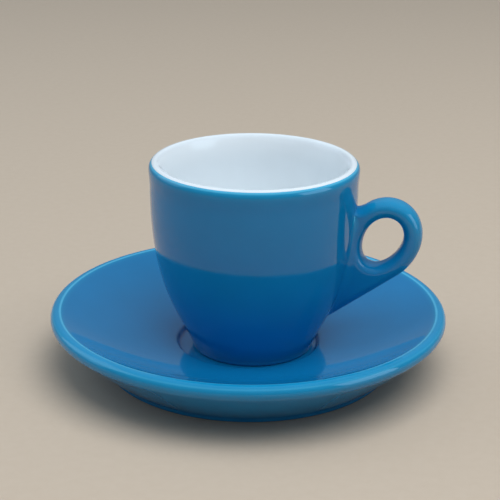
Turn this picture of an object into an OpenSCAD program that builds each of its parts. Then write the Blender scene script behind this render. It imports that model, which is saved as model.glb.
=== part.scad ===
// Espresso cup with saucer, glazed stoneware. Millimetres, +Z up, origin at the centre of the saucer's base.
// The cup stands in the saucer's well and lifts off. Its ear handle points along +X.

/* [Cup] */
// Diameter over the lip
cup_d = 61.3; // [50:0.1:80]
// Height from the foot to the lip
cup_h = 57.5; // [48:0.1:75]
// Thickness of the wall at the lip
wall_t = 4.2; // [3:0.1:6]
// How far the lip stands out beyond the wall under it, on each side
lip_flare = 0.3; // [0:0.05:1.5]
// Height of the zone under the lip in which the wall flares out
flare_h = 7.5; // [5:0.1:11]
// Thickness of the cup's floor
cup_floor_t = 5; // [3:0.1:8]
// Outer diameter of the foot ring
foot_d = 36.2; // [28:0.1:44]
// Width of the foot ring
foot_w = 3; // [2:0.1:5]
// Height of the upright edge of the foot ring
foot_h = 1.2; // [0.8:0.1:3]
// Depth of the hollow inside the foot ring
foot_hollow = 2.4; // [1:0.1:3]
// Radius of the flat floor inside
floor_flat_r = 9; // [4:0.5:14]

/* [Lining] */
// Thickness of the white lining
lining_t = 0.5; // [0.3:0.05:1]
// Where the white ends on the lip, in degrees up from the outer side
lining_edge = 50; // [20:1:80]

/* [Handle] */
// Drop from the lip to the top of the handle
handle_drop = 9.1; // [7:0.1:12]
// Width of the handle, across its plane
handle_w = 8.5; // [6:0.1:11]
// Thickness of the limb around the finger hole
limb_t = 5.5; // [4:0.1:7]
// Clay left between the wall and the finger hole
web_t = 2.5; // [1.5:0.1:5]
// Length of the finger hole
hole_l = 15.4; // [12:0.1:22]
// Width of the finger hole
hole_w = 10.6; // [9:0.1:14]
// How much fuller the hole's upper end is than its lower end
hole_fullness = 0.11; // [0:0.01:0.3]
// Lean of the finger hole, away from the cup
hole_lean = 28; // [10:1:40]
// Height above the foot at which the tail's tip meets the wall
tail_tip_h = 10.4; // [7:0.1:14]
// Radius of the fillet that blends the handle's sides into the wall
root_r = 3; // [1:0.1:3.5]
// Radius of the fillet in the corner where the handle's upper edge meets the wall
corner_r = 2.5; // [1:0.1:4]
// Slip between the handle and the wall
slip_t = 0.15; // [0.1:0.05:0.3]

/* [Saucer] */
// Diameter over the lip
saucer_d = 118; // [105:0.5:150]
// Height from the foot to the lip
saucer_h = 18.2; // [16:0.1:25]
// Thickness of the rounded lip
saucer_lip_t = 4.5; // [3.5:0.1:6]
// Outer diameter of the foot ring
saucer_foot_d = 86; // [70:0.5:95]
// Width of the foot ring
saucer_foot_w = 4; // [3:0.1:7]
// Height of the upright edge of the foot ring
saucer_foot_h = 1.4; // [1:0.1:2.5]
// Depth of the hollow inside the foot ring
saucer_hollow = 1.7; // [1:0.1:3]
// Thickness of the floor under the cup
saucer_floor_t = 4; // [3:0.1:6]
// Depth of the well that keeps the cup in place
well_depth = 1.5; // [0.8:0.1:2.2]
// Room around the cup's foot on the well's flat floor
well_play = 2.2; // [1:0.1:4]
// Width of the soft step from the well's floor up to the dish
well_step = 1.6; // [1:0.1:3]
// Share of the room around the foot by which the cup stands towards its handle
shift_share = 0.63; // [0:0.01:0.9]

/* [Hidden] */
$fn = 180;
blue_glaze = "#1468AC";
white_glaze = "#E4ECF0";

// Number of straight steps in a long curve and in a small round
curve_steps = 20;
round_steps = 12;
// Small round on the edges of both foot rings
edge_r = 0.6;

// Cup sizes, measured from the cup's own foot
rim_r = cup_d / 2;
belly_r = rim_r - lip_flare;
lip_r = wall_t / 2;
lip_centre = [rim_r - lip_r, cup_h - lip_r];
shoulder_z = cup_h - flare_h;
foot_r = foot_d / 2;
inner_r = rim_r - wall_t;
floor_z = foot_hollow + cup_floor_t;

// Saucer sizes
saucer_r = saucer_d / 2;
saucer_foot_r = saucer_foot_d / 2;
bead_r = saucer_lip_t / 2;
bead_centre = [saucer_r - bead_r, saucer_h - bead_r];
well_floor_z = saucer_hollow + saucer_floor_t;
well_edge_z = well_floor_z + well_depth;
well_r = foot_r + well_play;

// Where the cup stands
cup_place = [shift_share * well_play, 0, well_floor_z];

// Outline helpers: a cubic curve, an arc, a list turned round, a list without its first point
function curve(a, b, c, d) = [
    for (i = [0 : curve_steps])
        let (t = i / curve_steps, u = 1 - t)
        u * u * u * a + 3 * u * u * t * b + 3 * u * t * t * c + t * t * t * d
];
function arc(centre, r, from, to) = [
    for (i = [0 : round_steps])
        let (a = from + (to - from) * i / round_steps)
        centre + r * [cos(a), sin(a)]
];
function turned(list) = [for (i = [len(list) - 1 : -1 : 0]) list[i]];
function rest(list) = [for (i = [1 : len(list) - 1]) list[i]];

// Cup outside: it leans out from the foot, then rises to an upright wall with a slight flare at the lip
swell_out = 0.36;
swell_up = 0.232;
belly_pull = 0.64;
wall_rise = shoulder_z - foot_h;
side = curve(
    [foot_r, foot_h],
    [foot_r + swell_out * (belly_r - foot_r), foot_h + swell_up * wall_rise],
    [belly_r, shoulder_z - belly_pull * wall_rise],
    [belly_r, shoulder_z]
);
flare_rise = lip_centre.y - shoulder_z;
flare = curve(
    [belly_r, shoulder_z],
    [belly_r, shoulder_z + flare_rise / 2],
    [rim_r, lip_centre.y - flare_rise / 3],
    [rim_r, lip_centre.y]
);

// Cup inside, from the glaze line over the lip and down to the floor, moved into the clay by depth
bowl_pull = 0.6;
floor_pull = 0.62;
function inside(depth) = concat(
    arc(lip_centre, lip_r - depth, lining_edge, 90),
    rest(arc(lip_centre, lip_r - depth, 90, 180)),
    curve(
        [inner_r + depth, shoulder_z],
        [inner_r + depth, shoulder_z - bowl_pull * (shoulder_z - floor_z)],
        [floor_flat_r + floor_pull * (inner_r - floor_flat_r) + depth, floor_z - depth],
        [floor_flat_r, floor_z - depth]
    ),
    [[0, floor_z - depth]]
);

// Ring foot seen in section: hollow, bevelled inner edge, flat tread, bevelled outer edge
function foot_ring(r, w, hollow) = [
    [0, hollow],
    [r - w - hollow, hollow],
    [r - w, edge_r],
    [r - w + edge_r, 0],
    [r - edge_r, 0],
    [r, edge_r]
];

// Outer radius of the cup's wall at a height
wall_table = [for (p = concat(side, rest(flare))) [p.y, p.x]];
function wall_r(z) = lookup(z, wall_table);

// Finger hole: an egg, by the angle round it from its upper end, as [x, z] from its centre
hole_axis = [sin(hole_lean), cos(hole_lean)];
hole_cross = [cos(hole_lean), -sin(hole_lean)];
function egg(a) = hole_l / 2 * cos(a) * hole_axis
    + hole_w / 2 * sin(a) * (1 + hole_fullness * cos(a)) * hole_cross;
function egg_along(a) = -hole_l / 2 * sin(a) * hole_axis
    + hole_w / 2 * (cos(a) + hole_fullness * cos(2 * a)) * hole_cross;
function egg_outward(a) = let (t = egg_along(a)) [-t.y, t.x] / norm(t);

// Place of the finger hole
egg_angles = [0 : 2 : 358];
hole_top = max([for (a = egg_angles) egg(a).y]);
hole_left = max([for (a = egg_angles) -egg(a).x]);
hole_z = cup_h - handle_drop - limb_t - hole_top;
hole_centre = [wall_r(hole_z) + web_t + hole_left, hole_z];
hole_low_z = hole_z - max([for (a = egg_angles) -egg(a).y]);

// Tail: a straight edge from its tip on the wall, tangent to the limb. Its slope is found by halving
halvings = 24;
tail_tip = [wall_r(tail_tip_h), tail_tip_h];
steepest_tail = 80;
function slope_out(slope) = [sin(slope), -cos(slope)];
function limb_edge(out) = max([for (a = egg_angles) (hole_centre + egg(a)) * out]) + limb_t;
function tangent_slope(low = 0, high = steepest_tail, left = halvings) =
    let (middle = (low + high) / 2, out = slope_out(middle))
    left == 0 ? middle
    : limb_edge(out) < tail_tip * out ? tangent_slope(middle, high, left - 1)
    : tangent_slope(low, middle, left - 1);
tail_out = slope_out(tangent_slope());
tail_along = [tail_out.y, -tail_out.x];
tail_edge = limb_edge(tail_out);
function on_tail(n) = n * tail_along > 0 && n.y < 0;

// Width of the handle: it fades from the hole's level to the tail's tip
half_w = handle_w / 2;
tip_share = 0.4;
function tail_fade(z) =
    let (share = min(max((z - tail_tip_h) / (hole_low_z - tail_tip_h), 0), 1))
    1 - (1 - tip_share) * (1 - share) ^ 2;

// The root runs from where the limb's edge meets the wall down to the tail's tip, and rounds off at both ends
limb_edges = [for (a = egg_angles) hole_centre + egg(a) + limb_t * egg_outward(a)];
root_top_z = max([for (e = limb_edges) e.x < wall_r(e.y) ? e.y : 0]);
end_share = 0.25;
function root_fade(z) =
    let (above = (z - hole_z) / (root_top_z - hole_z), below = (hole_low_z - z) / (hole_low_z - tail_tip_h))
    let (share = min(max(above, below, 0), 1))
    sqrt(1 - (1 - end_share ^ 2) * share ^ 2);

// Root: a ball that rolls down between the handle's side and the wall. Its radius, the place of its centre, the
// place where it touches the wall, and the half width that its fillet adds at a point of the handle's plane
function ball_r(z) = root_r * root_fade(z);
function ball_x(z) = sqrt((wall_r(z) + ball_r(z)) ^ 2 - (half_w * tail_fade(z) + ball_r(z)) ^ 2);
function root_x(z) = ball_x(z) * wall_r(z) / (wall_r(z) + ball_r(z));
function fillet(p) =
    let (z = p.y, reach = min(max(ball_x(z) - p.x, 0), ball_x(z) - root_x(z)))
    ball_r(z) - sqrt(ball_r(z) ^ 2 - reach ^ 2);

// Distance from a point to the root along a direction, found by halving
longest_reach = cup_h;
function to_root(p, n, near = 0, far = longest_reach, left = halvings) =
    let (middle = (near + far) / 2, q = p + middle * n)
    left == 0 ? middle
    : q.x > root_x(q.y) ? to_root(p, n, middle, far, left - 1)
    : to_root(p, n, near, middle, left - 1);

// Fillet in the upper corner of the outline: extra length of the limb near the wall
function corner(p) =
    let (reach = min(max(corner_r - (p.x - wall_r(p.y)), 0), corner_r))
    corner_r - sqrt(corner_r ^ 2 - reach ^ 2);

// Rounding of an edge: from none at the edge to the full width half a limb further in
edge_roundness = 2.3;
round_in = limb_t / 2;
function rounding(gap) =
    let (share = min(max(gap / round_in, 0), 1))
    pow(1 - pow(1 - share, edge_roundness), 1 / edge_roundness);

// A station's section runs along the hole's normal n from the hole's edge p to the limb's edge or the tail's edge
steepest = 0.05;
function edge_share(n) = on_tail(n) ? max(n * tail_out, steepest) : 1;
function free_length(p, n) =
    on_tail(n) ? (tail_edge - p * tail_out) / edge_share(n)
    : limb_t + corner(p + limb_t * n);

// Half width at a distance s along a section
function half_width(p, n, free, s) =
    let (q = p + s * n)
    (half_w * tail_fade(q.y) + fillet(q)) * rounding(s) * rounding((free - s) * edge_share(n));

// Its side ends at the root, where the wall comes first, or else at the nose, which rounds off the outer edge.
// Steps along the side are close together at the hole's edge and at the end
nose_share = 0.12;
nose = nose_share * round_in;
shortest_side = 0.5;
hole_zone = 0.6;
zone_steps = 6;
function side_steps(length) =
    let (first = min(round_in, hole_zone * length))
    concat(
        [for (i = [0 : zone_steps]) first * (1 - cos(90 * i / zone_steps))],
        [for (i = [1 : zone_steps]) first + (length - first) * (1 - (1 - i / zone_steps) ^ 2)]
    );

// A point of a section on one side, kept outside the slip on the wall
function kept_out(q, y) = [max(q.x, sqrt((wall_r(q.y) + slip_t) ^ 2 - y ^ 2)), y, q.y];

// One side of a section: along the side, then round the nose, or back to the middle along the wall
nose_steps = 4;
function half_section(p, n) =
    let (free = free_length(p, n), root = n.x < 0 ? to_root(p, n) : longest_reach)
    let (nose_start = max(free - nose / edge_share(n), shortest_side * min(free, root)))
    let (length = min(root, nose_start), width = half_width(p, n, free, length))
    concat(
        [for (s = side_steps(length)) kept_out(p + s * n, half_width(p, n, free, s))],
        [
            for (i = [1 : nose_steps])
                let (s = length + (free - length) * sin(90 * i / nose_steps))
                root < nose_start ? kept_out(p + length * n, width * (1 - i / nose_steps))
                : kept_out(p + s * n, half_width(p, n, free, s))
        ]
    );

// A whole section: out along one side and back along the other
last_step = 2 * zone_steps + nose_steps;
section_points = 2 * last_step;
function section(a) =
    let (half = half_section(hole_centre + egg(a), egg_outward(a)))
    concat(half, [for (k = [last_step - 1 : -1 : 1]) [half[k].x, -half[k].y, half[k].z]]);

// Stations round the hole, crowded at its lower end, where the sections fan out over the tail
stations = 96;
crowding = 0.8;
station_angles = [
    for (i = [0 : stations - 1])
        let (a = 360 * i / stations)
        a + crowding * sin(a) * 180 / PI
];
handle_points = [for (a = station_angles) each section(a)];
function handle_index(i, j) = (i % stations) * section_points + j % section_points;
handle_faces = [
    for (i = [0 : stations - 1], j = [0 : section_points - 1])
        each [
            [handle_index(i, j), handle_index(i + 1, j), handle_index(i + 1, j + 1)],
            [handle_index(i, j), handle_index(i + 1, j + 1), handle_index(i, j + 1)]
        ]
];

// Saucer: ring foot, sloping underside, rounded lip, hollow dish, well for the cup
under_angle = -48;
dish_angle = 120;
dish_rise = 8;
dish_roundness = 0.38;
step_roundness = 0.55;
dish_low = [well_r + well_step, well_edge_z];
dish_low_along = [cos(dish_rise), sin(dish_rise)];
dish_high = bead_centre + bead_r * [cos(dish_angle), sin(dish_angle)];
dish_high_along = [sin(dish_angle), -cos(dish_angle)];
dish_pull = dish_roundness * (dish_high.x - dish_low.x);
dish = curve(dish_high, dish_high - dish_pull * dish_high_along, dish_low + dish_pull * dish_low_along, dish_low);
step_pull = step_roundness * well_step;
step = curve(
    dish_low,
    dish_low - step_pull * dish_low_along,
    [well_r + step_pull, well_floor_z],
    [well_r, well_floor_z]
);

module saucer() {
    color(blue_glaze)
        rotate_extrude()
            polygon(concat(
                foot_ring(saucer_foot_r, saucer_foot_w, saucer_hollow),
                [[saucer_foot_r, saucer_foot_h]],
                arc(bead_centre, bead_r, under_angle, 0),
                rest(arc(bead_centre, bead_r, 0, dish_angle)),
                rest(dish),
                rest(step),
                [[0, well_floor_z]]
            ));
}

module cup_body() {
    color(blue_glaze)
        translate(cup_place)
            rotate_extrude()
                polygon(concat(
                    foot_ring(foot_r, foot_w, foot_hollow),
                    side,
                    rest(flare),
                    rest(arc(lip_centre, lip_r, 0, lining_edge)),
                    inside(lining_t)
                ));
}

module cup_lining() {
    color(white_glaze)
        translate(cup_place)
            rotate_extrude()
                polygon(concat(inside(0), turned(inside(lining_t))));
}

module cup_handle() {
    color(blue_glaze)
        translate(cup_place)
            polyhedron(points = handle_points, faces = handle_faces, convexity = 6);
}

saucer();
cup_body();
cup_lining();
cup_handle();
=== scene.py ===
"""Espresso cup with saucer: the looks of its four pieces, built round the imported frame.

Lengths are in millimetres until a mesh is made, and metres from there on. The cup's outlines are
measured from its own axis and foot, the saucer's from its axis and the surface that it stands on.
An outline is a list of (radius, height) points that runs from the axis underneath, round the outside,
and back to the axis on top. Angles on an outline are in degrees.
"""

import math

import bpy
import numpy as np
from mathutils import Matrix, Vector


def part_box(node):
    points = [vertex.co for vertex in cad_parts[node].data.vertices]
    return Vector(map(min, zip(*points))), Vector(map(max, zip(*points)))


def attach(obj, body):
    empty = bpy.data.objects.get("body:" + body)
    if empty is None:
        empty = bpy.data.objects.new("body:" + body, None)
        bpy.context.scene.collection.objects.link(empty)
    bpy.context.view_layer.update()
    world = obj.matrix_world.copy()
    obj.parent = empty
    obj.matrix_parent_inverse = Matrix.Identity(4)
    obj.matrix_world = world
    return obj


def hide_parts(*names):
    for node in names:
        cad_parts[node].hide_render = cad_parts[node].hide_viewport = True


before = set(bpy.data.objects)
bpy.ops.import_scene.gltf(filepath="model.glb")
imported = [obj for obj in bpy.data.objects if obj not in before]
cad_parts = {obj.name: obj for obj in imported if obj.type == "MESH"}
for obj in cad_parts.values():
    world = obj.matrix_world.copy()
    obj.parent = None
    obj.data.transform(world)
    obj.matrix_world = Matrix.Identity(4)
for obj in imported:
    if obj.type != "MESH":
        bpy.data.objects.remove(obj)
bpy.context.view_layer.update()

MM = 0.001

# Sizes that the frame gives
saucer_high = np.array(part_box("saucer")[1]) / MM
body_low, body_high = (np.array(corner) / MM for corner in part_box("cup_body"))
lining_high = np.array(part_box("cup_lining")[1]) / MM
SAUCER_R = saucer_high[0]
SAUCER_H = saucer_high[2]
CUP_X = (body_low[0] + body_high[0]) / 2
CUP_Z = body_low[2]
RIM_R = (body_high[0] - body_low[0]) / 2
CUP_H = lining_high[2] - CUP_Z
CUP_PLACE = np.array([CUP_X, 0, CUP_Z])
SAUCER_PLACE = np.zeros(3)

# Sizes of the cup that its box doesn't show. LINING_EDGE is the angle on the lip at which the white ends
WALL_T = 4.2
LIP_FLARE = 0.3
FLARE_H = 7.5
FLOOR_T = 5
FOOT_R = 18.1
FOOT_W = 3
FOOT_H = 1.2
FOOT_HOLLOW = 2.4
FLOOR_FLAT_R = 9
LINING_T = 0.5
LINING_EDGE = 50

# Fullness of the cup's curves: how far a curve's inner control points lie from its ends, as shares of its
# width or rise
SWELL_OUT = 0.36
SWELL_UP = 0.232
BELLY_PULL = 0.64
FLARE_LOW_PULL = 1 / 2
FLARE_HIGH_PULL = 1 / 3
BOWL_PULL = 0.6
FLOOR_PULL = 0.62

# Sizes of the saucer. Its lip is round from UNDER_ANGLE, outside, to DISH_ANGLE, where the dish begins.
# The dish leaves the well's edge at the slope DISH_RISE
SAUCER_LIP_T = 4.5
SAUCER_FOOT_R = 43
SAUCER_FOOT_W = 4
SAUCER_FOOT_H = 1.4
SAUCER_HOLLOW = 1.7
WELL_R = 20.3
WELL_STEP = 1.6
WELL_DEPTH = 1.5
UNDER_ANGLE = -48
DISH_ANGLE = 120
DISH_RISE = 8
DISH_ROUNDNESS = 0.38
STEP_ROUNDNESS = 0.55

# Bevels of both foot rings
EDGE_R = 0.6

# Sizes of the handle. TIP_SHARE is the share of its width left at the tail's tip, END_SHARE the share of
# the root's radius left at both ends of the root, and ROUNDNESS the power of its rounded edges
HANDLE_DROP = 9.1
HANDLE_W = 8.5
LIMB_T = 5.5
WEB_T = 2.5
HOLE_L = 15.4
HOLE_W = 10.6
HOLE_FULLNESS = 0.11
HOLE_LEAN = math.radians(28)
TAIL_TIP_H = 10.4
TIP_SHARE = 0.4
ROOT_R = 3
END_SHARE = 0.25
CORNER_R = 2.5
ROUND_IN = LIMB_T / 2
ROUNDNESS = 2.3

# How deep the handle's sections end in the clay of the wall, over what length they close there, and how
# far the root is pressed into the wall so that the two surfaces cross
SUNK = 2
CLOSING = 0.8
PRESSED_IN = 0.03

# How finely outlines are cut: points of one curve or arc, the step along a whole outline, points of each
# finished outline, the length that a turn of one radian counts for among them, and points round the axis
CURVE_POINTS = 65
ARC_POINTS = 49
FINE_STEP = 0.08
SAUCER_CUTS = 200
CUP_CUTS = 220
LINING_CUTS = 150
TURN_WORTH = 9
ROUND_STEPS = 360

# How finely the handle is cut: sections round the finger hole, how far they crowd at its lower end, points
# along each side of a section, lengths tried to find the wall, and the least that a section may face the
# tail's edge
STATIONS = 320
CROWDING = 0.8
SECTION_POINTS = 64
LENGTHS_TRIED = 4001
LEAST_FACING = 0.05

# Shortest step that counts, and the widths of a bell at which it is cut off
TINY = 1e-6
BELL_CUT = 3

# Glaze, as a number on each point: 0 pooled, then plain, thinned, and 1 where it breaks on an edge and
# on the lines where highlights are painted
PLAIN = 0.5
THINNED = 0.9

# How far glaze and sponging soften a corner of the clay, the bend of an edge, one over its radius, at which
# the glaze is thinnest, the height over which that sets in, and how far it runs on along the outline
SOFTENED = 0.3
THINNING = 0.62
THINS_OVER = 1.5
GLAZE_RUN = 0.6

# Pale lines where the glaze breaks: how far they reach to each side, the angles of the two on the saucer's
# lip, and how strongly the inner and the outer one show. The two on the lip are painted highlight lines as
# well, the outer one most of all
PALE_LINE_REACH = 0.55
LIP_INNER_BREAK_AND_HIGHLIGHT = 108
LIP_OUTER_BREAK_AND_HIGHLIGHT = 45
FULL_SHARE = 1
OUTER_HIGHLIGHT_SHARE = 0.45

# How much paler the handle's glaze is drawn, where it thins and as a painted highlight: at most, and the
# share of that on the limb away from its ridges, which is painted light from above
HANDLE_THIN_AND_PAINTED_LIGHT = 0.5
LIMB_PAINTED_LIGHT = 0.75

# The white stands a hair proud of the blue, which goes on under it by an angle of the lip
PROUD = 0.05
UNDERLAP = 40

# Height up to which a foot's tread is left unglazed. The lining has no tread
BARE_UP_TO = 0.25
NO_TREAD = -1


def heading(angle):
    """Unit step (cos a, sin a) in an outline's plane, at an angle from straight out towards straight up."""
    return np.array([math.cos(math.radians(angle)), math.sin(math.radians(angle))])


def cubic(a, b, c, d):
    """Cubic curve: four points weighted by u^3, 3u^2t, 3ut^2 and t^3, with t from 0 to 1 and u = 1 - t."""
    a, b, c, d = (np.array(point) for point in (a, b, c, d))
    t = np.linspace(0, 1, CURVE_POINTS)[:, None]
    u = 1 - t
    return u**3 * a + 3 * u * u * t * b + 3 * u * t * t * c + t**3 * d


def arc(centre, radius, start, stop):
    """Round stretch: centre + radius (cos a, sin a), with a from start to stop.

    Two radii, out and up, give an ellipse.
    """
    a = np.radians(np.linspace(start, stop, ARC_POINTS))
    return np.array(centre) + np.array(radius) * np.stack([np.cos(a), np.sin(a)], 1)


def along(points):
    """Distance from the first point of each point of a line."""
    return np.r_[0, np.cumsum(np.linalg.norm(np.diff(points, axis=0), axis=1))]


def at(wanted, measure, values):
    """Each column of values, read at the wanted places of a rising measure."""
    return np.stack([np.interp(wanted, measure, column) for column in values.T], 1)


def bend(points):
    """Signed bend of each line in its plane, one over its radius: turn of direction over distance."""
    move = np.gradient(points, axis=-2)
    angle = np.unwrap(np.arctan2(move[..., 1], move[..., 0]))
    return np.gradient(angle, axis=-1) / np.maximum(np.linalg.norm(move, axis=-1), TINY)


def evenly(points):
    """The same line cut into short equal steps."""
    run = along(points)
    return at(np.linspace(0, run[-1], int(run[-1] / FINE_STEP) + 1), run, points)


def soften(points, reach):
    """Corners rounded over reach: each point of an evenly cut line becomes a bell-weighted mean.

    The mean is of the point and its neighbours. The ends stay where they are, because the line is carried
    on past them turned about its end points.
    """
    n = int(BELL_CUT * reach / FINE_STEP)
    bell = np.exp(-0.5 * (np.arange(-n, n + 1) * FINE_STEP / reach) ** 2)
    bell /= bell.sum()
    before = 2 * points[0] - points[n:0:-1]
    after = 2 * points[-1] - points[-2:-n - 2:-1]
    longer = np.vstack([before, points, after])
    return np.stack([np.convolve(column, bell, mode="valid") for column in longer.T], 1)


def spaced(points, count, extra):
    """Points crowded where a line bends: equal shares of its length plus its turning.

    Extra columns, one row for each point of the line, are read at the same places.
    """
    move = np.diff(points, axis=0)
    length = np.maximum(np.linalg.norm(move, axis=1), TINY)
    way = move / length[:, None]
    turning = np.r_[0, np.arccos(np.clip((way[1:] * way[:-1]).sum(1), -1, 1))]
    measure = np.r_[0, np.cumsum(length + TURN_WORTH * turning)]
    return at(np.linspace(0, measure[-1], count), measure, np.column_stack([points, extra]))


def glaze_of(line, thins_above, breaks_and_highlights_at):
    """Glaze by the bend under it: 0 pooled in a hollow, plain, towards 1 where it thins on a high lip.

    A lip counts above a height. Each pale line, where the glaze breaks and, on the saucer's lip, where a
    highlight is painted, is a radius, a height and the share that shows there, which falls off as a bell.
    """
    bends = np.clip(bend(line) / THINNING, -1, 1)
    on_lip = np.clip((line[:, 1] - thins_above) / THINS_OVER, 0, 1)
    by_bend = PLAIN + np.where(bends > 0, (1 - PLAIN) * bends * on_lip, PLAIN * bends)
    glaze = soften(by_bend[:, None], GLAZE_RUN)
    r, z, share = np.array(breaks_and_highlights_at).T
    away = np.hypot(line[:, :1] - r, line[:, 1:] - z)
    broken_and_highlit = (share * np.exp(-(away / PALE_LINE_REACH) ** 2)).max(1, keepdims=True)
    return glaze + (1 - glaze) * broken_and_highlit


def add_piece(name, points, faces, **attributes):
    """A smooth mesh piece: points in millimetres, faces, and one number per point for each attribute."""
    mesh = bpy.data.meshes.new(name)
    mesh.from_pydata((points * MM).tolist(), [], faces)
    mesh.shade_smooth()
    for label, values in attributes.items():
        layer = mesh.attributes.new(label, "FLOAT", "POINT")
        layer.data.foreach_set("value", np.asarray(values, np.float32))
    piece = bpy.data.objects.new(name, mesh)
    bpy.context.scene.collection.objects.link(piece)
    return piece


def grid_quads(rows, columns, rows_close):
    """Quads of a grid of points whose rows are rings, and whose last row joins the first one or not."""
    i, j = np.meshgrid(np.arange(rows if rows_close else rows - 1), np.arange(columns), indexing="ij")
    next_i, next_j = (i + 1) % rows, (j + 1) % columns
    corners = [i * columns + j, i * columns + next_j, next_i * columns + next_j, next_i * columns + j]
    return np.stack(corners, -1).reshape(-1, 4)


def turned_piece(name, outline, cuts, place, bare_below, thins_above, breaks_and_highlights_at):
    """Outline carried round an upright axis: x = r cos a, y = r sin a. Each end is one point on the axis.

    The attribute glaze follows the outline's bend and its pale lines, which on the saucer's lip are partly
    painted highlights. The attribute bare marks the tread left unglazed.
    """
    fine = soften(evenly(outline), SOFTENED)
    line = spaced(fine, cuts, glaze_of(fine, thins_above, breaks_and_highlights_at))
    r, z, glaze = line[1:-1].T
    a = np.linspace(0, 2 * np.pi, ROUND_STEPS, endpoint=False)
    rings = np.stack([np.outer(r, np.cos(a)), np.outer(r, np.sin(a)), np.outer(z, np.ones_like(a))], -1)
    ends = np.array([[0, 0, line[0, 1]], [0, 0, line[-1, 1]]])
    points = np.vstack([ends, rings.reshape(-1, 3)]) + place

    # A fan of triangles closes each end, and quads lie between the rings
    lowest = len(ends)
    highest = lowest + (len(r) - 1) * ROUND_STEPS
    ring = np.arange(ROUND_STEPS)
    after = (ring + 1) % ROUND_STEPS
    under = np.stack([np.zeros_like(ring), lowest + after, lowest + ring], 1).tolist()
    over = np.stack([np.ones_like(ring), highest + ring, highest + after], 1).tolist()
    between = (lowest + grid_quads(len(r), ROUND_STEPS, rows_close=False)).tolist()
    bare = np.clip((bare_below - z) / SOFTENED, 0, 1)
    return add_piece(
        name, points, under + over + between,
        glaze=np.r_[line[0, 2], line[-1, 2], np.repeat(glaze, ROUND_STEPS)],
        bare=np.r_[0, 0, np.repeat(bare, ROUND_STEPS)],
    )


def foot_ring(r, w, hollow):
    """Foot ring in section: hollow, sloping inner edge, flat tread with small bevels."""
    inner = r - w
    return [
        [0, hollow], [inner - hollow, hollow], [inner, EDGE_R],
        [inner + EDGE_R, 0], [r - EDGE_R, 0], [r, EDGE_R],
    ]


# Outlines of the cup
lip_r = WALL_T / 2
lip_centre = np.array([RIM_R - lip_r, CUP_H - lip_r])
shoulder_z = CUP_H - FLARE_H
belly_r = RIM_R - LIP_FLARE
inner_r = RIM_R - WALL_T
floor_z = FOOT_HOLLOW + FLOOR_T
wall_rise = shoulder_z - FOOT_H
flare_rise = lip_centre[1] - shoulder_z
side = cubic(
    [FOOT_R, FOOT_H],
    [FOOT_R + SWELL_OUT * (belly_r - FOOT_R), FOOT_H + SWELL_UP * wall_rise],
    [belly_r, shoulder_z - BELLY_PULL * wall_rise],
    [belly_r, shoulder_z],
)
flare = cubic(
    [belly_r, shoulder_z],
    [belly_r, shoulder_z + FLARE_LOW_PULL * flare_rise],
    [RIM_R, lip_centre[1] - FLARE_HIGH_PULL * flare_rise],
    [RIM_R, lip_centre[1]],
)


def inside(depth, start):
    """Inside of the cup, from an angle on the lip's outer side to the axis, moved into the clay by depth.

    The lip is round to its top. From there it rolls in a quarter of an ellipse down to the shoulder.
    """
    over = arc(lip_centre, lip_r - depth, start, 90)
    roll = arc([lip_centre[0], shoulder_z], [lip_r - depth, CUP_H - depth - shoulder_z], 90, 180)
    bowl = cubic(
        [inner_r + depth, shoulder_z],
        [inner_r + depth, shoulder_z - BOWL_PULL * (shoulder_z - floor_z)],
        [FLOOR_FLAT_R + FLOOR_PULL * (inner_r - FLOOR_FLAT_R) + depth, floor_z - depth],
        [FLOOR_FLAT_R, floor_z - depth],
    )
    return np.vstack([over, roll[1:], bowl[1:], [[0, floor_z - depth]]])


blue_end = LINING_EDGE + UNDERLAP
body_outline = np.vstack([
    foot_ring(FOOT_R, FOOT_W, FOOT_HOLLOW), side, flare[1:],
    arc(lip_centre, lip_r, 0, blue_end)[1:], inside(LINING_T, blue_end),
])
lining_outline = np.vstack([inside(LINING_T, LINING_EDGE)[::-1], inside(-PROUD, LINING_EDGE)])
white_edge = [*(lip_centre + lip_r * heading(LINING_EDGE)), FULL_SHARE]

# Outline of the saucer
bead_r = SAUCER_LIP_T / 2
bead_centre = np.array([SAUCER_R - bead_r, SAUCER_H - bead_r])
dish_high = bead_centre + bead_r * heading(DISH_ANGLE)
dish_high_way = heading(DISH_ANGLE - 90)
dish_low = np.array([WELL_R + WELL_STEP, CUP_Z + WELL_DEPTH])
dish_low_way = heading(DISH_RISE)
dish_pull = DISH_ROUNDNESS * (dish_high[0] - dish_low[0])
step_pull = STEP_ROUNDNESS * WELL_STEP
dish = cubic(
    dish_high,
    dish_high - dish_pull * dish_high_way,
    dish_low + dish_pull * dish_low_way,
    dish_low,
)
step = cubic(
    dish_low,
    dish_low - step_pull * dish_low_way,
    [WELL_R + step_pull, CUP_Z],
    [WELL_R, CUP_Z],
)
saucer_outline = np.vstack([
    foot_ring(SAUCER_FOOT_R, SAUCER_FOOT_W, SAUCER_HOLLOW), [[SAUCER_FOOT_R, SAUCER_FOOT_H]],
    arc(bead_centre, bead_r, UNDER_ANGLE, DISH_ANGLE), dish[1:], step[1:], [[0, CUP_Z]],
])
# The lip's pale lines: glaze broken on the bead, drawn as painted highlight lines too, the outer one mostly
lip_breaks_and_highlights = [
    [*(bead_centre + bead_r * heading(LIP_INNER_BREAK_AND_HIGHLIGHT)), FULL_SHARE],
    [*(bead_centre + bead_r * heading(LIP_OUTER_BREAK_AND_HIGHLIGHT)), OUTER_HIGHLIGHT_SHARE],
]


def wall_r(z):
    """Outer radius of the cup's wall at a height."""
    line = np.vstack([side, flare[1:]])
    return np.interp(z, line[:, 1], line[:, 0])


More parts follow.
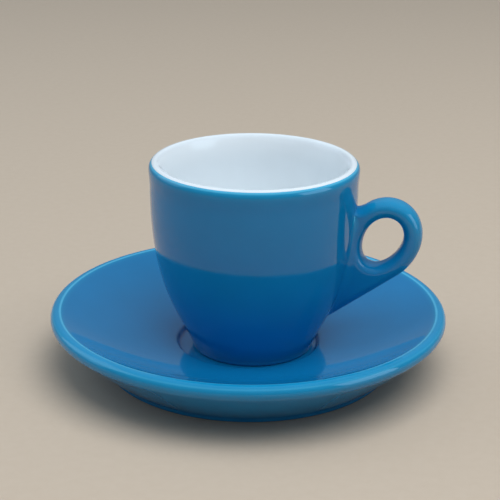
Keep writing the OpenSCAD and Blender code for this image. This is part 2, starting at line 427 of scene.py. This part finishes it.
def finger_hole():
    """Edge of the finger hole as (x, z) from its centre, one point a station, and its outward normals.

    The hole is an egg: l/2 cos(a) along its leaning axis plus w/2 sin(a) (1 + fullness cos(a)) across it,
    with a from its upper end. Stations crowd at its lower end, where the sections fan out over the tail.
    """
    a = np.linspace(0, 2 * np.pi, STATIONS, endpoint=False)
    a = a + CROWDING * np.sin(a)
    axis = np.array([math.sin(HOLE_LEAN), math.cos(HOLE_LEAN)])
    cross = np.array([math.cos(HOLE_LEAN), -math.sin(HOLE_LEAN)])
    edge = HOLE_L / 2 * np.outer(np.cos(a), axis)
    edge += HOLE_W / 2 * np.outer(np.sin(a) * (1 + HOLE_FULLNESS * np.cos(a)), cross)
    way = -HOLE_L / 2 * np.outer(np.sin(a), axis)
    way += HOLE_W / 2 * np.outer(np.cos(a) + HOLE_FULLNESS * np.cos(2 * a), cross)
    return edge, np.stack([-way[:, 1], way[:, 0]], 1) / np.linalg.norm(way, axis=1)[:, None]


# Places of the finger hole, of the limb's outer edge and of the root's upper end
hole_edge, normal = finger_hole()
hole_z = CUP_H - HANDLE_DROP - LIMB_T - hole_edge[:, 1].max()
hole_edge = hole_edge + np.array([wall_r(hole_z) + WEB_T - hole_edge[:, 0].min(), hole_z])
hole_low_z = hole_edge[:, 1].min()
hole_top_z = hole_edge[:, 1].max()
limb_edge = hole_edge + LIMB_T * normal
root_top_z = limb_edge[limb_edge[:, 0] < wall_r(limb_edge[:, 1]), 1].max()

# Tail: a straight edge from its tip on the wall, tangent to the limb, and the way straight out of it
tail_tip = np.array([wall_r(TAIL_TIP_H), TAIL_TIP_H])
tail_slope = np.arctan2(limb_edge[:, 1] - tail_tip[1], limb_edge[:, 0] - tail_tip[0]).min()
tail_way = np.array([math.cos(tail_slope), math.sin(tail_slope)])
tail_out = np.array([tail_way[1], -tail_way[0]])
on_tail = (normal @ tail_way < 0) & (normal[:, 1] < 0)


def tail_fade(z):
    """Share of the handle's width at a height: all of it down to the hole, then less to the tail's tip."""
    share = np.clip((z - TAIL_TIP_H) / (hole_low_z - TAIL_TIP_H), 0, 1)
    return 1 - (1 - TIP_SHARE) * (1 - share) ** 2


def root_fade(z):
    """Share of the root's radius at a height: a quarter of an ellipse towards each of the root's ends."""
    above = (z - hole_z) / (root_top_z - hole_z)
    below = (hole_low_z - z) / (hole_low_z - TAIL_TIP_H)
    share = np.clip(np.maximum(above, below), 0, 1)
    return np.sqrt(1 - (1 - END_SHARE**2) * share**2)


def root_fillet(x, z):
    """Half width that the root adds: a ball of radius b rolls down between the handle's side and the wall.

    It adds b - sqrt(b^2 - d^2) at a distance d from the ball's centre towards the wall, until it touches
    the wall.
    """
    w = HANDLE_W / 2 * tail_fade(z)
    b = ROOT_R * root_fade(z)
    wall = wall_r(z) - PRESSED_IN
    ball_x = np.sqrt((wall + b) ** 2 - (w + b) ** 2)
    d = np.clip(ball_x - x, 0, ball_x * b / (wall + b))
    return b - np.sqrt(b * b - d * d)


def corner_fillet(points):
    """Length that the limb gains at the wall, where its upper edge swings up in an arc."""
    reach = np.clip(CORNER_R - (points[:, 0] - wall_r(points[:, 1])), 0, CORNER_R)
    return CORNER_R - np.sqrt(CORNER_R**2 - reach**2)


def rounding(gap):
    """Superellipse: the share of the full width at a gap from an edge."""
    share = np.clip(gap / ROUND_IN, 0, 1)
    return (1 - (1 - share) ** ROUNDNESS) ** (1 / ROUNDNESS)


def section_reach():
    """Each section's length, its length in the open, and how squarely it faces its outer edge.

    In the open a section runs to the limb's outer edge or to the tail's straight edge. Where the wall comes
    first, it ends sunk into the clay, at the first of many tried lengths that lies deep enough.
    """
    facing = np.where(on_tail, np.maximum(normal @ tail_out, LEAST_FACING), 1)
    to_tail = (tail_tip @ tail_out - hole_edge @ tail_out) / facing
    free = np.where(on_tail, to_tail, LIMB_T + corner_fillet(limb_edge))
    tried = np.linspace(0, CUP_H, LENGTHS_TRIED)
    x, z = (hole_edge[:, k, None] + tried * normal[:, k, None] for k in (0, 1))
    deep = x <= wall_r(z) - SUNK
    to_wall = np.where(deep.any(1), tried[deep.argmax(1)], CUP_H)
    return np.minimum(free, to_wall), free, facing


def ear_handle():
    """Ear handle: a section for each station, laid along the finger hole's normal, joined round the hole.

    Its half width is that of the handle plus the root's fillet, times the rounding at both of its edges.
    """
    length, free, facing = (column[:, None] for column in section_reach())

    # Points crowd towards both ends of a section, as the rounding needs
    s = length * (1 - np.cos(np.linspace(0, np.pi, SECTION_POINTS))) / 2
    x, z = (hole_edge[:, k, None] + s * normal[:, k, None] for k in (0, 1))
    y = (HANDLE_W / 2 * tail_fade(z) + root_fillet(x, z)) * rounding(s)
    y *= rounding((free - s) * facing)
    y *= np.where(length < free, rounding((length - s) * ROUND_IN / CLOSING), 1)

    # The glaze is drawn paler on the ridges, where it thins and where a highlight is painted, and, clear of
    # the wall, towards the limb's outer edge, less lower down: painted light from above
    ridge = np.clip(-bend(np.stack([-s, y], -1)) / THINNING, 0, 1)
    clear = np.clip((x - wall_r(z)) / LIMB_T, 0, 1)
    thin_and_painted_light = np.maximum(ridge, LIMB_PAINTED_LIGHT * clear * s / length)
    thin_and_painted_light *= np.clip((z - hole_low_z) / (hole_top_z - hole_low_z), 0, 1)

    # The other side is the mirror image, taken backwards, so that each section is one ring
    half = np.stack([x, y, z, PLAIN + HANDLE_THIN_AND_PAINTED_LIGHT * thin_and_painted_light], -1)
    other_half = half[:, -2:0:-1] * np.array([1, -1, 1, 1])
    rings = np.concatenate([half, other_half], 1)
    points = rings.reshape(-1, 4)
    other_way_round = [0, 3, 2, 1]
    faces = grid_quads(STATIONS, rings.shape[1], rows_close=True)[:, other_way_round]
    return add_piece(
        "ear_handle", points[:, :3] + CUP_PLACE, faces.tolist(),
        glaze=points[:, 3],
        bare=np.zeros(len(points)),
    )


# Sizes of the patterns in glaze, clay and paint. The waves and the grit are far lower than they are wide,
# and the grit is drawn coarser than it is, so that it shows
CLOUD_SIZE = 14
WAVE_SIZE = 7
GRIT_SIZE = 0.6
RELIEF_HEIGHT = 0.02
RELIEF_STRENGTH = 0.12
ROLLER_GRAIN = 3

# Finish of glaze, from its clearest to its haziest patches, of bare clay and of matt paint
GLAZE_IOR = 1.48
CLEAR_GLAZE = 0.05
HAZY_GLAZE = 0.09
MATT_CLAY = 0.85
MATT_PAINT = 0.9
PAINT_SPECULAR = 0.2

# Sockets of a Mix node, which it doesn't name apart: the factor, and the pair of numbers or of colours
FACTOR = 0
NUMBER_A, NUMBER_B, NUMBER_OUT = 2, 3, 0
COLOUR_A, COLOUR_B, COLOUR_OUT = 6, 7, 2


def linear(code):
    """sRGB hex colour as linear red, green, blue and alpha, by the sRGB curve."""
    parts = [int(code[k:k + 2], 16) / 255 for k in (1, 3, 5)]
    return tuple(v / 12.92 if v <= 0.04045 else ((v + 0.055) / 1.055) ** 2.4 for v in parts) + (1,)


def add_node(tree, kind, values=(), links=(), **settings):
    """One node with its settings, values of its sockets, and links into its sockets from other outputs."""
    made = tree.nodes.new(kind)
    for label, value in settings.items():
        setattr(made, label, value)
    for socket, value in dict(values).items():
        made.inputs[socket].default_value = value
    for socket, source in dict(links).items():
        tree.links.new(source, made.inputs[socket])
    return made


def new_material(name):
    """New node material, with its tree and its surface shader."""
    material = bpy.data.materials.new(name)
    material.use_nodes = True
    return material, material.node_tree, material.node_tree.nodes["Principled BSDF"]


def per_metre(size):
    """Noise scale whose patches are about that many millimetres across."""
    return 1 / (size * MM)


def glazed_stoneware(name, pooled, plain, thinned, edge, tint_swing):
    """Coloured glass fired onto clay: mirror-smooth, slightly wavy, with soft clouds in its colour.

    It is paler where it thins out on edges and deeper where it pools, and the tread under the foot is bare
    matt clay. The same colours also draw the painted highlights that the glaze attribute carries, and on
    the white a painted shade on the lip.
    """
    material, tree, shader = new_material(name)
    place = add_node(tree, "ShaderNodeTexCoord").outputs["Object"]
    bare = add_node(tree, "ShaderNodeAttribute", attribute_name="bare").outputs["Fac"]

    # Colour by the glaze's thickness, with the painted highlights and shade that the same number carries
    thickness = add_node(tree, "ShaderNodeAttribute", attribute_name="glaze").outputs["Fac"]
    glass = add_node(tree, "ShaderNodeValToRGB", links={"Fac": thickness})
    stops = glass.color_ramp.elements
    stops[0].color = linear(pooled)
    stops[1].color = linear(edge)
    for position, colour in ((PLAIN, plain), (THINNED, thinned)):
        stops.new(position).color = linear(colour)

    # Soft clouds in the colour, as fired glazes have
    clouds = add_node(
        tree, "ShaderNodeTexNoise", {"Scale": per_metre(CLOUD_SIZE), "Detail": 3, "Roughness": 0.55},
        {"Vector": place},
    ).outputs["Fac"]
    swing = add_node(
        tree, "ShaderNodeMapRange",
        {"From Min": 0.3, "From Max": 0.7, "To Min": 1 - tint_swing, "To Max": 1 + tint_swing},
        {"Value": clouds},
    ).outputs["Result"]
    tinted = add_node(
        tree, "ShaderNodeVectorMath", links={0: glass.outputs["Color"], 1: swing}, operation="MULTIPLY"
    ).outputs["Vector"]

    # Bare clay on the tread, speckled with grit
    grit = add_node(
        tree, "ShaderNodeTexNoise", {"Scale": per_metre(GRIT_SIZE), "Detail": 4, "Roughness": 0.7},
        {"Vector": place},
    ).outputs["Fac"]
    clay = add_node(tree, "ShaderNodeValToRGB", links={"Fac": grit})
    for stop, position, colour in zip(clay.color_ramp.elements, (0.35, 0.65), ("#B9AD9B", "#DDD5C7")):
        stop.position = position
        stop.color = linear(colour)
    colour = add_node(
        tree, "ShaderNodeMix", links={FACTOR: bare, COLOUR_A: tinted, COLOUR_B: clay.outputs["Color"]},
        data_type="RGBA",
    ).outputs[COLOUR_OUT]

    # Gloss, a little hazier in some clouds, and matt on the clay
    haze = add_node(
        tree, "ShaderNodeMapRange",
        {"From Min": 0.35, "From Max": 0.7, "To Min": CLEAR_GLAZE, "To Max": HAZY_GLAZE},
        {"Value": clouds},
    ).outputs["Result"]
    roughness = add_node(
        tree, "ShaderNodeMix", {NUMBER_B: MATT_CLAY}, {FACTOR: bare, NUMBER_A: haze}
    ).outputs[NUMBER_OUT]

    # Relief: faint waves in the glaze, and grit on the clay
    waves = add_node(
        tree, "ShaderNodeTexNoise", {"Scale": per_metre(WAVE_SIZE), "Detail": 1}, {"Vector": place}
    ).outputs["Fac"]
    relief = add_node(
        tree, "ShaderNodeMix", links={FACTOR: bare, NUMBER_A: waves, NUMBER_B: grit}
    ).outputs[NUMBER_OUT]
    bump = add_node(
        tree, "ShaderNodeBump", {"Strength": RELIEF_STRENGTH, "Distance": RELIEF_HEIGHT * MM},
        {"Height": relief},
    ).outputs["Normal"]
    for socket, source in (("Base Color", colour), ("Roughness", roughness), ("Normal", bump)):
        tree.links.new(source, shader.inputs[socket])
    shader.inputs["IOR"].default_value = GLAZE_IOR
    return material


def painted_board():
    """Matt painted board: an even pale surface with a faint roller grain."""
    material, tree, shader = new_material("matt_painted_board")
    place = add_node(tree, "ShaderNodeTexCoord").outputs["Object"]
    grain = add_node(
        tree, "ShaderNodeTexNoise", {"Scale": per_metre(ROLLER_GRAIN), "Detail": 3}, {"Vector": place}
    ).outputs["Fac"]
    paint = add_node(tree, "ShaderNodeValToRGB", links={"Fac": grain})
    for stop, colour in zip(paint.color_ramp.elements, ("#C0B2A1", "#C5B8A8")):
        stop.color = linear(colour)
    tree.links.new(paint.outputs["Color"], shader.inputs["Base Color"])
    shader.inputs["Roughness"].default_value = MATT_PAINT
    shader.inputs["Specular IOR Level"].default_value = PAINT_SPECULAR
    return material


# Pieces, the bodies that they ride on, and their finishes
glazed_saucer = turned_piece(
    "glazed_saucer", saucer_outline, SAUCER_CUTS, SAUCER_PLACE, bare_below=BARE_UP_TO,
    thins_above=bead_centre[1] - bead_r / 2, breaks_and_highlights_at=lip_breaks_and_highlights,
)
glazed_cup = turned_piece(
    "glazed_cup", body_outline, CUP_CUTS, CUP_PLACE, bare_below=BARE_UP_TO,
    thins_above=CUP_H - WALL_T, breaks_and_highlights_at=[white_edge],
)
white_lining = turned_piece(
    "white_lining", lining_outline, LINING_CUTS, CUP_PLACE, bare_below=NO_TREAD,
    thins_above=CUP_H - WALL_T, breaks_and_highlights_at=[white_edge],
)
handle = ear_handle()

blue = glazed_stoneware(
    "azure_glazed_stoneware",
    pooled="#0A6CAC", plain="#0B7DB7", thinned="#0E8CBF", edge="#4CB6E0", tint_swing=0.03,
)
# The white is drawn darker where it thins on the lip and at its edge: painted shade on the lip, which the
# light reaches more than the inside
white = glazed_stoneware(
    "white_glazed_stoneware",
    pooled="#EAF3F9", plain="#EEF6FB", thinned="#E1EDF6", edge="#E1EDF6", tint_swing=0.008,
)
for piece, body, node, slot, material in (
    (glazed_saucer, "saucer", "saucer", "blue_glaze", blue),
    (glazed_cup, "cup", "cup_body", "blue_glaze", blue),
    (white_lining, "cup", "cup_lining", "white_glaze", white),
    (handle, "cup", "cup_handle", "blue_glaze", blue),
):
    piece.data.materials.append(material)
    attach(piece, body)
    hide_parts(node)

# Floor: one plain painted board, far wider than the camera sees
FLOOR_HALF = 6000
corners = np.array([[-1, -1, 0], [1, -1, 0], [1, 1, 0], [-1, 1, 0]]) * FLOOR_HALF
floor = add_piece("floor", corners, [[0, 1, 2, 3]])
floor.data.materials.append(painted_board())


def soft_light(name, size, place, aim, watts, tint, mirrored=True, lighting=True):
    """Square soft box that faces a point. It is mirrored in a glaze, lights the glaze's colour, or both."""
    data = bpy.data.lights.new(name, "AREA")
    data.size = size * MM
    data.energy = watts
    data.color = linear(tint)[:3]
    lamp = bpy.data.objects.new(name, data)
    stand, target = Vector(place) * MM, Vector(aim) * MM
    facing = (target - stand).to_track_quat("-Z", "Y").to_matrix().to_4x4()
    lamp.matrix_world = Matrix.Translation(stand) @ facing
    lamp.visible_glossy = mirrored
    lamp.visible_diffuse = lighting
    bpy.context.scene.collection.objects.link(lamp)


def soft_room(tint, low, overhead, rises_from, full_at, lean):
    """Light of the room by direction: low round the horizon, rising smoothly to full overhead.

    It rises between two shares of the way up, which is the part of a direction that points along the lean.
    """
    world = bpy.data.worlds.new("soft_room")
    world.use_nodes = True
    tree = world.node_tree
    way = add_node(tree, "ShaderNodeTexCoord").outputs["Generated"]
    way_up = add_node(
        tree, "ShaderNodeVectorMath", {1: Vector(lean).normalized()}, {0: way}, operation="DOT_PRODUCT"
    ).outputs["Value"]
    level = add_node(
        tree, "ShaderNodeMapRange",
        {"From Min": rises_from, "From Max": full_at, "To Min": low, "To Max": overhead}, {"Value": way_up},
        interpolation_type="SMOOTHSTEP",
    ).outputs["Result"]
    room = tree.nodes["Background"]
    room.inputs["Color"].default_value = linear(tint)
    tree.links.new(level, room.inputs["Strength"])
    bpy.context.scene.world = world


# Light: a low even room for the glaze to mirror, a box overhead that only lights, a box low at the right
# that is only mirrored, and a weak box at the left that does both
soft_room("#EDF5FC", low=0.27, overhead=0.55, rises_from=0.3, full_at=0.9, lean=(0, 0.12, 1))
soft_light(
    "overhead_softbox", size=900, place=(230, -160, 880), aim=(0, 0, 30), watts=7.2, tint="#FFFFFF",
    mirrored=False,
)
soft_light(
    "right_softbox", size=560, place=(800, -150, 310), aim=(0, 0, 40), watts=2.6, tint="#D0EAFF",
    lighting=False,
)
soft_light("left_softbox", size=700, place=(-800, 100, 520), aim=(0, 0, 40), watts=1.3, tint="#DCEEFF")

# Camera: in front of the cup, a little round towards its handle, looking down
CAMERA_AWAY = 400
CAMERA_UP = 182.4
CAMERA_TURN = math.radians(10)
CAMERA_PAN = -0.0009
CAMERA_DOWN = 0.3523
CAMERA_ROLL = 0.0096
FOCAL_PIXELS = 1439.5
IMAGE_PIXELS = 500
FILM_WIDTH = 36
NEAREST = 10
FARTHEST = 50000
lens = bpy.data.cameras.new("camera")
lens.sensor_width = FILM_WIDTH
lens.lens = FILM_WIDTH * FOCAL_PIXELS / IMAGE_PIXELS
lens.clip_start = NEAREST * MM
lens.clip_end = FARTHEST * MM
camera = bpy.data.objects.new("camera", lens)
stand = Vector((CAMERA_AWAY * math.sin(CAMERA_TURN), -CAMERA_AWAY * math.cos(CAMERA_TURN), CAMERA_UP)) * MM
camera.matrix_world = (
    Matrix.Translation(stand)
    @ Matrix.Rotation(CAMERA_TURN + CAMERA_PAN, 4, "Z")
    @ Matrix.Rotation(math.pi / 2 - CAMERA_DOWN, 4, "X")
    @ Matrix.Rotation(CAMERA_ROLL, 4, "Z")
)
bpy.context.scene.collection.objects.link(camera)
bpy.context.scene.camera = camera
bpy.context.scene.view_settings.view_transform = "Standard"
